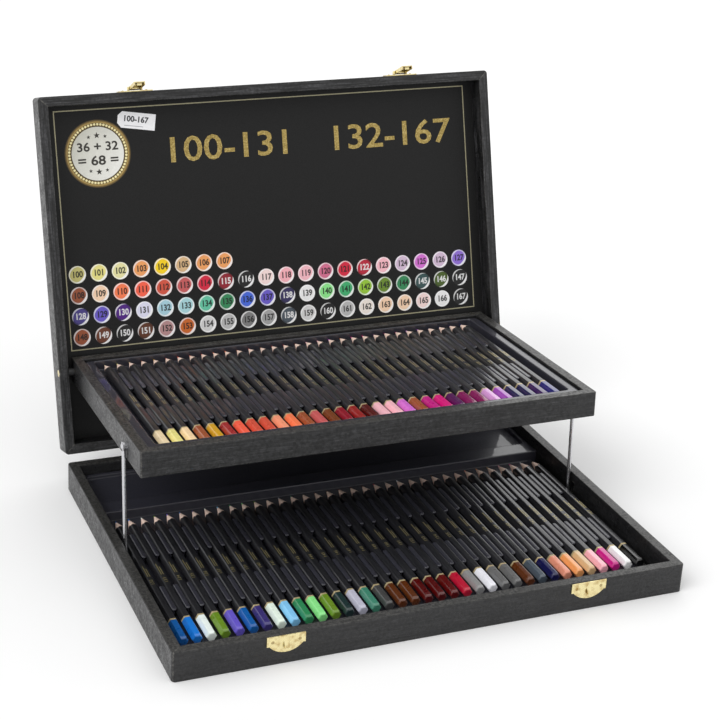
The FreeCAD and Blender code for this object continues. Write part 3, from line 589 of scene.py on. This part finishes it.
def hexagon_reach(angle, flats, corner):
    """Distance from the axis to a hexagon with rounded corners, flat side down."""
    apothem = flats / 2
    local = (angle - math.pi / 2 + math.pi / HEX_SIDES) % (math.pi / 3) - math.pi / HEX_SIDES
    straight = apothem / math.cos(local)
    # rounded corner: a circle of the corner radius tucked into each corner
    inset = (apothem - corner) / math.cos(math.pi / HEX_SIDES)
    offset = math.pi / HEX_SIDES - abs(local)
    reach = inset * math.cos(offset)
    side = inset * math.sin(offset)
    if side < corner:
        return min(straight, reach + math.sqrt(corner * corner - side * side))
    return straight


def pencil_columns():
    """Angles round a pencil, closer together at the rounded corners."""
    angles = []
    for side in range(HEX_SIDES):
        middle = math.pi / 2 + side * math.pi / 3
        for step in COLUMN_STEPS:
            angles.append(middle + step * math.pi / 3)
    return sorted(angle % (2 * math.pi) for angle in angles)


def cone_base(settings):
    """Radius of the sharpened cone at its base, which is that of a sharp hexagon's corners."""
    return settings.flats / 2 / math.cos(math.pi / HEX_SIDES)


def pencil_rings(settings, angles):
    """Rings of a pencil as (material of the band that starts there, [(y, radius) per column])."""
    flat = [hexagon_reach(angle, settings.flats, settings.corner) for angle in angles]
    top = settings.dip_length
    band_end = top + settings.band_width
    lead_start = settings.length - settings.lead_length
    lead_radius = cone_base(settings) * (settings.length - lead_start) / settings.cone
    cut = [settings.length - settings.cone * reach / cone_base(settings) for reach in flat]
    swell = 1.006           # the dipped coat stands a little proud of the lacquer
    band_swell = 1.003      # and the foil band less so
    return [
        (PAINT, [(0.0, reach * 0.45) for reach in flat]),
        (PAINT, [(0.00012, reach * 0.72) for reach in flat]),
        (PAINT, [(0.0005, reach * 0.87) for reach in flat]),
        (PAINT, [(0.0011, reach * 0.955) for reach in flat]),
        (PAINT, [(0.002, reach) for reach in flat]),
        (PAINT, [(0.0032, reach * swell) for reach in flat]),
        (PAINT, [(top, reach * swell) for reach in flat]),
        (FOIL, [(top, reach * band_swell) for reach in flat]),
        (LACQUER, [(band_end, reach * band_swell) for reach in flat]),
        (LACQUER, [(band_end, reach) for reach in flat]),
        (LACQUER, [(y - 0.00025, reach) for y, reach in zip(cut, flat)]),
        (CEDAR, [(y, reach - 0.00006) for y, reach in zip(cut, flat)]),
        (CEDAR, [((y + lead_start) / 2, (reach + lead_radius) / 2)
                 for y, reach in zip(cut, flat)]),
        (LEAD, [(lead_start, lead_radius)] * len(flat)),
        (LEAD, [(lead_start + 0.0003, lead_radius * 0.93)] * len(flat)),
        (LEAD, [(settings.length - 0.0009, 0.00042)] * len(flat)),
        (LEAD, [(settings.length - 0.0002, 0.00026)] * len(flat)),
    ]


def add_pencil(builder, settings, place, tint, number):
    """One pencil along +Y in its own frame, moved by place."""
    angles = pencil_columns()
    rings = pencil_rings(settings, angles)
    count = len(angles)
    points = [place @ Vector((radius * math.cos(angle), y, radius * math.sin(angle)))
              for _, ring in rings for angle, (y, radius) in zip(angles, ring)]
    start = len(builder.points)
    builder.points.extend(points)

    def face(indices, material):
        builder.faces.append([start + index for index in indices])
        builder.materials.append(material)
        builder.tints.append(tint)

    face(range(count), PAINT)
    for level in range(len(rings) - 1):
        material = rings[level][0]
        for column in range(count):
            after = (column + 1) % count
            face((level * count + column, (level + 1) * count + column,
                  (level + 1) * count + after, level * count + after), material)
    last = (len(rings) - 1) * count
    face([last + column for column in reversed(range(count))], LEAD)
    add_marks(builder, settings, place, number)


def add_marks(builder, settings, place, number):
    """Gold figures and rules stamped along the upper flat of the barrel."""
    top = settings.flats / 2 + STAMP_LIFT
    points, faces = figures(str(number), 0.0036, 0.01)
    middle = 0.0755         # middle of the figures, from the painted end
    # the figures read along the barrel, from the painted end towards the point
    builder.add([place @ Vector((-p.y, middle + p.x * 1.4, top)) for p in points], faces, MARK)
    for start, end, side in ((0.0835, 0.0990, -0.0007), (0.0835, 0.0945, 0.0008)):
        half = 0.00032      # half the width of a rule
        builder.add([place @ Vector((x, y, top)) for x, y in
                     ((side - half, start), (side + half, start), (side + half, end),
                      (side - half, end))], [(0, 1, 2, 3)], MARK)


# number of the first pencil of each row
ROW_START = {"upper_pencils": FIRST_NUMBER, "lower_pencils": FIRST_NUMBER + UPPER_COUNT}


def make_pencils(settings, name, node, body, paints, placement):
    """One row of pencils that stands for the CAD row. Each lies a little forward or back."""
    rng = random.Random(len(paints))
    builder = Builder()
    half = PENCIL_PITCH * (len(paints) - 1) / 2
    for index, pigment in enumerate(paints):
        shift = rng.uniform(-0.00025, 0.00025)
        place = placement @ Matrix.Translation(Vector((PENCIL_PITCH * index - half, shift,
                                                       settings.flats / 2)))
        add_pencil(builder, settings, place, paint(pigment), ROW_START[node] + index)
    row = builder.finish(name, [bpy.data.materials[material] for material in
                                ("satin_lacquer", "dipped_paint", "pencil_foil", "cut_cedar",
                                 "pencil_lead", "barrel_marks")], math.radians(24))
    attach(row, body)
    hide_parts(node)


# ---------------------------------------------------------------- colour chart
INK_STEP = 0.00004              # each printed layer stands this much prouder than the one below
# places on the card are across from its middle and down from the lid's front face
FIRST_SWATCH = (-0.1714, 0.1433)
MEDALLION = (-0.1470, 0.0476)
MEDALLION_RADIUS = 0.0273
MEDALLION_CORNERS = 96          # round the edge of each of its discs
LABEL = (-0.1131, 0.0234)
TITLE_DOWN = 0.0500
UPPER_TITLE_X = -0.0355
LOWER_TITLE_X = 0.1085
DARK_TINT = 0.12                # a swatch less bright than this has pale figures
# a swatch's highlights: heading and reach in degrees, thickness to its radius, share of white
HIGHLIGHTS = ((-42, 140, 0.28, 0.86), (138, 150, 0.18, 0.62))


def on_card(x, down, layer):
    """Place on the card of the open lid, in a printed layer."""
    return OPENED_LID @ Vector((x, BOX_FRONT + down, CARD_FACE - INK_STEP * layer))


def print_on_card(builder, name, ink):
    """Finishes one printed piece, which is part of the card and moves with the lid."""
    piece = builder.finish(name, [bpy.data.materials[ink]])
    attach(piece, "lid")


def add_disc(builder, x, down, radius, layer, tint, count=40):
    """Printed disc with a number of corners round its edge."""
    turns = [2 * math.pi * index / count for index in range(count)]
    builder.add([on_card(x + radius * math.cos(turn), down - radius * math.sin(turn), layer)
                 for turn in turns], [range(count)], 0, tint)


def add_shaded_disc(builder, x, down, radius, layer, dark, light, heading):
    """Disc printed in narrow bands across its heading, from dark to light: painted shade rising to
    a painted highlight.
    """
    bands = 32
    c, s = math.cos(heading), math.sin(heading)
    for index in range(bands):
        corners = []
        for turn in (index, index + 1):
            u = -radius * math.cos(math.pi * turn / bands)
            v = radius * math.sin(math.pi * turn / bands)
            corners.append([on_card(x + u * c - side * v * s, down - (u * s + side * v * c), layer)
                            for side in (-1, 1)])
        (a, b), (d, e) = corners
        builder.add([a, d, e, b], [(0, 1, 2, 3)], 0, mixed(dark, light, (index + 0.5) / bands))


def add_crescent(builder, x, down, radius, layer, tint, heading, reach, thickness):
    """Curved highlight inside a disc's edge, thickest at its heading and tapering to its ends."""
    steps = 18
    points = []
    for index in range(steps + 1):
        share = index / steps
        angle = heading + (share - 0.5) * reach
        inner = radius - thickness * math.sin(math.pi * share)
        for distance in (radius, inner):
            points.append(on_card(x + distance * math.cos(angle), down - distance * math.sin(angle),
                                  layer))
    faces = [(2 * i, 2 * i + 2, 2 * i + 3, 2 * i + 1) for i in range(steps)]
    builder.add(points, faces, 0, tint)


def add_figures(builder, body, size, x, down, layer, tint, lean=0.0, stretch=1.0, weight=0.0):
    """Printed figures, leaning from the level and stretched across the card."""
    points, faces = figures(body, size, weight)
    c, s = math.cos(lean), math.sin(lean)
    builder.add([on_card(x + (p.x * c - p.y * s) * stretch, down - (p.x * s + p.y * c), layer)
                 for p in points], faces, 0, tint)


def add_star(builder, x, down, radius, layer, tint):
    """Printed star with five points."""
    points = []
    for index in range(10):
        reach = radius if index % 2 == 0 else radius * 0.42
        angle = math.pi / 2 + index * math.pi / 5
        points.append(on_card(x + reach * math.cos(angle), down - reach * math.sin(angle), layer))
    points.append(on_card(x, down, layer))
    builder.add(points, [(index, (index + 1) % 10, 10) for index in range(10)], 0, tint)


def add_rectangle(builder, x0, x1, down0, down1, layer, tint):
    """Printed rectangle between two places across and two down."""
    corners = ((x0, down0), (x0, down1), (x1, down1), (x1, down0))
    builder.add([on_card(x, down, layer) for x, down in corners], [(0, 1, 2, 3)], 0, tint)


def lightness(tint):
    """Brightness of a linear tint to the eye."""
    return 0.2126 * tint[0] + 0.7152 * tint[1] + 0.0722 * tint[2]


def make_swatches(settings):
    """Numbered colour swatches: a pale rim, the colour, and two highlights like a glass button."""
    builder = Builder()
    number = FIRST_NUMBER
    radius = settings.swatch_radius
    for row, pigments in enumerate(CHART_ROWS):
        down = FIRST_SWATCH[1] + row * settings.row_pitch
        for column, pigment in enumerate(pigments.split()):
            tint = paint(pigment)
            x = FIRST_SWATCH[0] + column * settings.swatch_pitch
            deep = lightness(tint) < DARK_TINT
            rim = mixed(tint, BLACK, 0.5) if deep else mixed(tint, WHITE, 0.5)
            add_disc(builder, x, down, radius, 1, rim)
            add_disc(builder, x - 0.0003, down - 0.0003, radius * 0.85, 2, tint)
            for heading, reach, thickness, white in HIGHLIGHTS:
                add_crescent(builder, x, down, radius * 0.985, 3, mixed(tint, WHITE, white),
                             math.radians(heading), math.radians(reach), radius * thickness)
            ink = mixed(tint, WHITE, 0.75) if deep else mixed(tint, BLACK, 0.92)
            add_figures(builder, str(number), 0.0070, x, down, 4, ink, stretch=0.86, weight=0.034)
            number += 1
    print_on_card(builder, "chart_swatches", "chart_ink")


def make_border(settings):
    """Gold line round the card."""
    builder = Builder()
    left, right, top, bottom = -0.1812, 0.1798, 0.0116, 0.2046
    width = settings.border_width
    for x0, x1, down0, down1 in ((left, right, top, top + width),
                                 (left, right, bottom - width, bottom),
                                 (left, left + width, top + width, bottom - width),
                                 (right - width, right, top + width, bottom - width)):
        add_rectangle(builder, x0, x1, down0, down1, 1, WHITE)
    print_on_card(builder, "chart_border", "border_ink")


def make_medallion(settings):
    """Round printed badge: a bronze ring shaded dark at its rims, a bead border, and an ivory
    field with painted light across it, shaded at one side and lit at the other, with a sum in plain
    figures, thirty-six pencils below and thirty-two above."""
    x, down = MEDALLION
    builder = Builder()
    outer = MEDALLION_RADIUS
    for share, layer, bronze in ((1.0, 1, "44350f"), (0.975, 2, "7b6330"), (0.945, 2.5, "a78c4c"),
                                 (0.905, 3, "665124"), (0.818, 4, "44350f")):
        add_disc(builder, x, down, outer * share, layer, linear(bronze), MEDALLION_CORNERS)
    beads = 58
    for index in range(beads):
        angle = 2 * math.pi * index / beads
        add_disc(builder, x + outer * 0.862 * math.cos(angle),
                 down - outer * 0.862 * math.sin(angle), 0.00098, 4, linear("f6eab0"), 14)
    # painted light on the field: shade at one side rising to a highlight at the other
    add_shaded_disc(builder, x, down, outer * 0.79, 5, mixed(settings.ivory, BLACK, 0.16),
                    mixed(settings.ivory, WHITE, 0.6), math.radians(-38))
    dark = linear("2f2c26")
    for side in (-1, 1):
        for offset, size in ((-0.0068, 0.0017), (0.0, 0.0027), (0.0068, 0.0017)):
            lift = 0.0146 - abs(offset) * 0.15
            add_star(builder, x + offset, down + side * lift, size, 7, dark)
    add_figures(builder, "36 + 32", 0.0098, x, down - 0.0054, 7, dark, stretch=1.12, weight=0.022)
    add_figures(builder, "= 68 =", 0.0104, x, down + 0.0058, 7, dark, stretch=1.2, weight=0.022)
    print_on_card(builder, "chart_medallion", "chart_ink")


def make_title():
    """Large gold figures: the first and last numbers of the upper and of the lower pencils."""
    builder = Builder()
    lower = FIRST_NUMBER + UPPER_COUNT
    for first, count, x in ((FIRST_NUMBER, UPPER_COUNT, UPPER_TITLE_X),
                            (lower, LOWER_COUNT, LOWER_TITLE_X)):
        body = "%d-%d" % (first, first + count - 1)
        add_figures(builder, body, 0.029, x, TITLE_DOWN, 1, WHITE, stretch=1.19, weight=0.01)
    print_on_card(builder, "chart_title", "gold_ink")


def make_label():
    """Small white label printed beside the medallion: a range of numbers over a rule."""
    builder = Builder()
    x, down = LABEL
    lean = math.radians(-9.0)
    c, s = math.cos(lean), math.sin(lean)

    def at(u, v, layer):
        return on_card(x + u * c - v * s, down - (u * s + v * c), layer)

    half, tall, cut = 0.0158, 0.0066, 0.0034
    outline = ((-half + cut, tall), (-half, tall - cut), (-half, cut - tall), (-half + cut, -tall),
               (half, -tall), (half, tall))
    builder.add([at(u, v, 1) for u, v in outline], [range(len(outline))], 0, linear("fafafc"))
    add_figures(builder, "%d-%d" % (FIRST_NUMBER, FIRST_NUMBER + LOWER_COUNT + UPPER_COUNT - 1),
                0.0064, x - 0.0006, down - 0.0010, 2, linear("3c3c40"), lean=lean, weight=0.034)
    left, right, top, bottom = -0.010, 0.006, -0.0042, -0.0047
    rule = ((left, top), (left, bottom), (right, bottom), (right, top))
    builder.add([at(u, v, 2) for u, v in rule], [(0, 1, 2, 3)], 0, linear("a5a5aa"))
    print_on_card(builder, "chart_label", "chart_ink")


# ---------------------------------------------------------------- stage
FLOOR_REACH = 6.0                       # from the middle of the floor to its sides
LIGHT_AIM = Vector((0, 0, 0.1))         # what the lamps point at
KEY_PLACE = (-1.5, -0.5, 1.5)
SOFTBOX_PLACE = (0.85, 0.95, 0.75)
CAMERA_PLACE = (-0.49301, -1.08323, 0.67098)
CAMERA_TURN = (68.5315, -2.1068, -20.5544)      # degrees


def make_floor(settings):
    """Large plain floor, level with the underside of the case."""
    builder = Builder()
    corners = ((-1, -1), (1, -1), (1, 1), (-1, 1))
    builder.add([Vector((FLOOR_REACH * x, FLOOR_REACH * y, 0)) for x, y in corners],
                [(0, 1, 2, 3)])
    material, _, _ = new_material("studio_floor", Base_Color=tuple(settings.floor), Roughness=0.9,
                                  Specular_IOR_Level=0.0)
    floor = builder.finish("studio_floor", [material])


def make_sky(scene, settings):
    """Even white light; what the camera and the reflections see directly is plain white."""
    world = bpy.data.worlds.new("studio")
    world.use_nodes = True
    tree = world.node_tree
    tree.nodes.clear()
    path = add_node(tree, "ShaderNodeLightPath")
    seen = add_node(tree, "ShaderNodeMath", {0: path.outputs["Is Camera Ray"],
                                             1: path.outputs["Is Glossy Ray"]}, operation="MAXIMUM")
    strength = add_node(tree, "ShaderNodeMix",
                        {"Factor": seen.outputs[0], 2: settings.sky_strength, 3: 1.0})
    background = add_node(tree, "ShaderNodeBackground",
                          {"Color": WHITE, "Strength": strength.outputs[0]})
    add_node(tree, "ShaderNodeOutputWorld", {"Surface": background.outputs["Background"]})
    scene.world = world


def add_lamp(scene, name, kind, place, **values):
    """A lamp of a kind at a place, aimed at the case."""
    lamp = bpy.data.lights.new(name, kind)
    for key, value in values.items():
        setattr(lamp, key, value)
    holder = bpy.data.objects.new(name, lamp)
    holder.location = place
    aim = LIGHT_AIM - Vector(place)
    holder.rotation_euler = aim.to_track_quat("-Z", "Y").to_euler()
    scene.collection.objects.link(holder)


def make_key(scene, settings):
    """Soft light from the upper left, as even over the floor as a distant softbox."""
    add_lamp(scene, "key", "SUN", KEY_PLACE, energy=settings.key_strength,
             angle=math.radians(38))


def make_softbox(scene, settings):
    """Square softbox behind the right corner, which the glossy tops reflect past the lid."""
    add_lamp(scene, "softbox", "AREA", SOFTBOX_PLACE, shape="SQUARE", size=0.9,
             energy=settings.softbox_strength)


def make_camera(scene, settings):
    """Camera in front of the left corner, a little above the open lid's middle."""
    lens = bpy.data.cameras.new("camera")
    lens.sensor_width = 36.0
    lens.lens = settings.focal_length
    lens.shift_x = 0.1
    lens.shift_y = -0.1
    lens.clip_start = 0.05
    lens.clip_end = 20.0
    camera = bpy.data.objects.new("camera", lens)
    camera.location = CAMERA_PLACE
    camera.rotation_euler = [math.radians(angle) for angle in CAMERA_TURN]
    scene.collection.objects.link(camera)
    scene.camera = camera


# ---------------------------------------------------------------- operators
class PENCILBOX_OT_case(bpy.types.Operator):
    """Stains the walls and panels of the base, lid and tray, with the grain along each board"""

    bl_idname = "pencilbox.case"
    bl_label = "Stain the case"

    def execute(self, context):
        settings = context.scene.pencilbox_box
        # body, its tilt, its rim wear with painted top light, and its figure
        sets = (("base", 0.0, 0.35, 0.15), ("lid", LID_OPEN, 0.0, 1.0),
                ("tray", TRAY_TILT, 0.4, 0.35))
        for body, tilt, wear, figure in sets:
            cross = stained_wood(settings, "stained_wood_" + body + "_cross", 0, tilt, wear,
                                 figure)
            deep = stained_wood(settings, "stained_wood_" + body + "_deep", 1, tilt, wear,
                                figure)
            dress(cross, body + "_front_wall", body + "_back_wall")
            dress(deep, body + "_left_wall", body + "_right_wall")
            dress(cross, body + ("_top_panel" if body == "lid" else "_bottom_panel"))
        return {"FINISHED"}


class PENCILBOX_OT_inserts(bpy.types.Operator):
    """Gives the two formed inserts their glossy black plastic"""

    bl_idname = "pencilbox.inserts"
    bl_label = "Finish the inserts"

    def execute(self, context):
        dress(formed_plastic(context.scene.pencilbox_box), "base_pencil_insert",
              "tray_pencil_insert")
        return {"FINISHED"}


class PENCILBOX_OT_metalwork(bpy.types.Operator):
    """Finishes the latches, hinges and pivot pins in brass and the rods in steel"""

    bl_idname = "pencilbox.metalwork"
    bl_label = "Finish the metalwork"

    def execute(self, context):
        settings = context.scene.pencilbox_box
        names = sorted(frame["nodes"])
        brass = tuple(settings.brass)
        sheet = pressed_brass("pressed_brass", brass)
        # nails and screws in a darker brass, which paints the shade round their heads
        nails = pressed_brass("nail_brass", mixed(brass, linear("7a5a24"), 0.6))
        for name in names:
            if name.startswith(("hinge", "latch")):
                dress(nails if name.endswith(("_nails", "_screws")) else sheet, name)
        dress(sheet, "tray_pivot_pin_left", "tray_pivot_pin_right")
        # the spacers are black: partly their own nylon, partly painted shade for the dark gap they
        # sit in
        dress(black_nylon(), "tray_pivot_spacer_left", "tray_pivot_spacer_right")
        dress(bright_steel(settings), *[n for n in names if n.startswith(("support_rod", "rod_"))])
        return {"FINISHED"}


class PENCILBOX_OT_pencils(bpy.types.Operator):
    """Builds the two rows of pencils"""

    bl_idname = "pencilbox.pencils"
    bl_label = "Build the pencils"

    def execute(self, context):
        settings = context.scene.pencilbox_pencils
        satin_lacquer(settings)
        tinted_paint("dipped_paint", 0.3, 0.8)
        tinted_paint("pencil_lead", 0.55)
        foil("pencil_foil", tuple(settings.foil), 0.36, 0.35)
        foil("barrel_marks", tuple(settings.marks), 0.4, 0.7)
        cut_cedar(settings)
        make_pencils(settings, "pencils_lower", "lower_pencils", "base", LOWER_PAINT,
                     Matrix.Translation(Vector((0, LOWER_ROW[0][1], LOWER_ROW[0][2]))))
        make_pencils(settings, "pencils_upper", "upper_pencils", "tray", UPPER_PAINT,
                     LIFTED_TRAY @ Matrix.Translation(Vector((0, TRAY_PENCIL_START,
                                                              TRAY_PENCIL_SEAT))))
        return {"FINISHED"}


class PENCILBOX_OT_chart(bpy.types.Operator):
    """Prints the card in the lid: border, medallion, figures and numbered swatches"""

    bl_idname = "pencilbox.chart"
    bl_label = "Print the colour chart"

    def execute(self, context):
        settings = context.scene.pencilbox_chart
        dress(printed_card(settings), "colour_chart_card")
        tinted_paint("chart_ink", 0.45)
        gold_ink(settings)
        foil("border_ink", linear("a8a284"), 0.45, 0.25)
        make_border(settings)
        make_medallion(settings)
        make_title()
        make_label()
        make_swatches(settings)
        return {"FINISHED"}


class PENCILBOX_OT_stage(bpy.types.Operator):
    """Builds the floor, the light and the camera"""

    bl_idname = "pencilbox.stage"
    bl_label = "Build the stage"

    def execute(self, context):
        settings = context.scene.pencilbox_stage
        scene = context.scene
        make_floor(settings)
        make_sky(scene, settings)
        make_key(scene, settings)
        make_softbox(scene, settings)
        make_camera(scene, settings)
        scene.view_settings.view_transform = "Standard"
        return {"FINISHED"}


# ---------------------------------------------------------------- panel and registration
class PENCILBOX_PT_panel(bpy.types.Panel):
    """Builds each part of the pencil box"""

    bl_label = "Pencil box"
    bl_idname = "PENCILBOX_PT_panel"
    bl_space_type = "VIEW_3D"
    bl_region_type = "UI"
    bl_category = "Pencil box"

    def draw(self, context):
        for operator in OPERATORS:
            self.layout.operator(operator.bl_idname)
        for name, group in GROUPS:
            settings = getattr(context.scene, name)
            box = self.layout.box()
            for key in group.__annotations__:
                box.prop(settings, key)


OPERATORS = (
    PENCILBOX_OT_case,
    PENCILBOX_OT_inserts,
    PENCILBOX_OT_metalwork,
    PENCILBOX_OT_pencils,
    PENCILBOX_OT_chart,
    PENCILBOX_OT_stage,
)
GROUPS = (
    ("pencilbox_box", BoxSettings),
    ("pencilbox_pencils", PencilSettings),
    ("pencilbox_chart", ChartSettings),
    ("pencilbox_stage", StageSettings),
)


def register():
    for _, group in GROUPS:
        bpy.utils.register_class(group)
    for name, group in GROUPS:
        setattr(bpy.types.Scene, name, bpy.props.PointerProperty(type=group))
    for operator in OPERATORS:
        bpy.utils.register_class(operator)
    bpy.utils.register_class(PENCILBOX_PT_panel)


def unregister():
    bpy.utils.unregister_class(PENCILBOX_PT_panel)
    for operator in reversed(OPERATORS):
        bpy.utils.unregister_class(operator)
    for name, group in reversed(GROUPS):
        delattr(bpy.types.Scene, name)
        bpy.utils.unregister_class(group)


def main():
    register()
    bpy.ops.pencilbox.case()
    bpy.ops.pencilbox.inserts()
    bpy.ops.pencilbox.metalwork()
    bpy.ops.pencilbox.pencils()
    bpy.ops.pencilbox.chart()
    bpy.ops.pencilbox.stage()


if __name__ == "__main__":
    main()
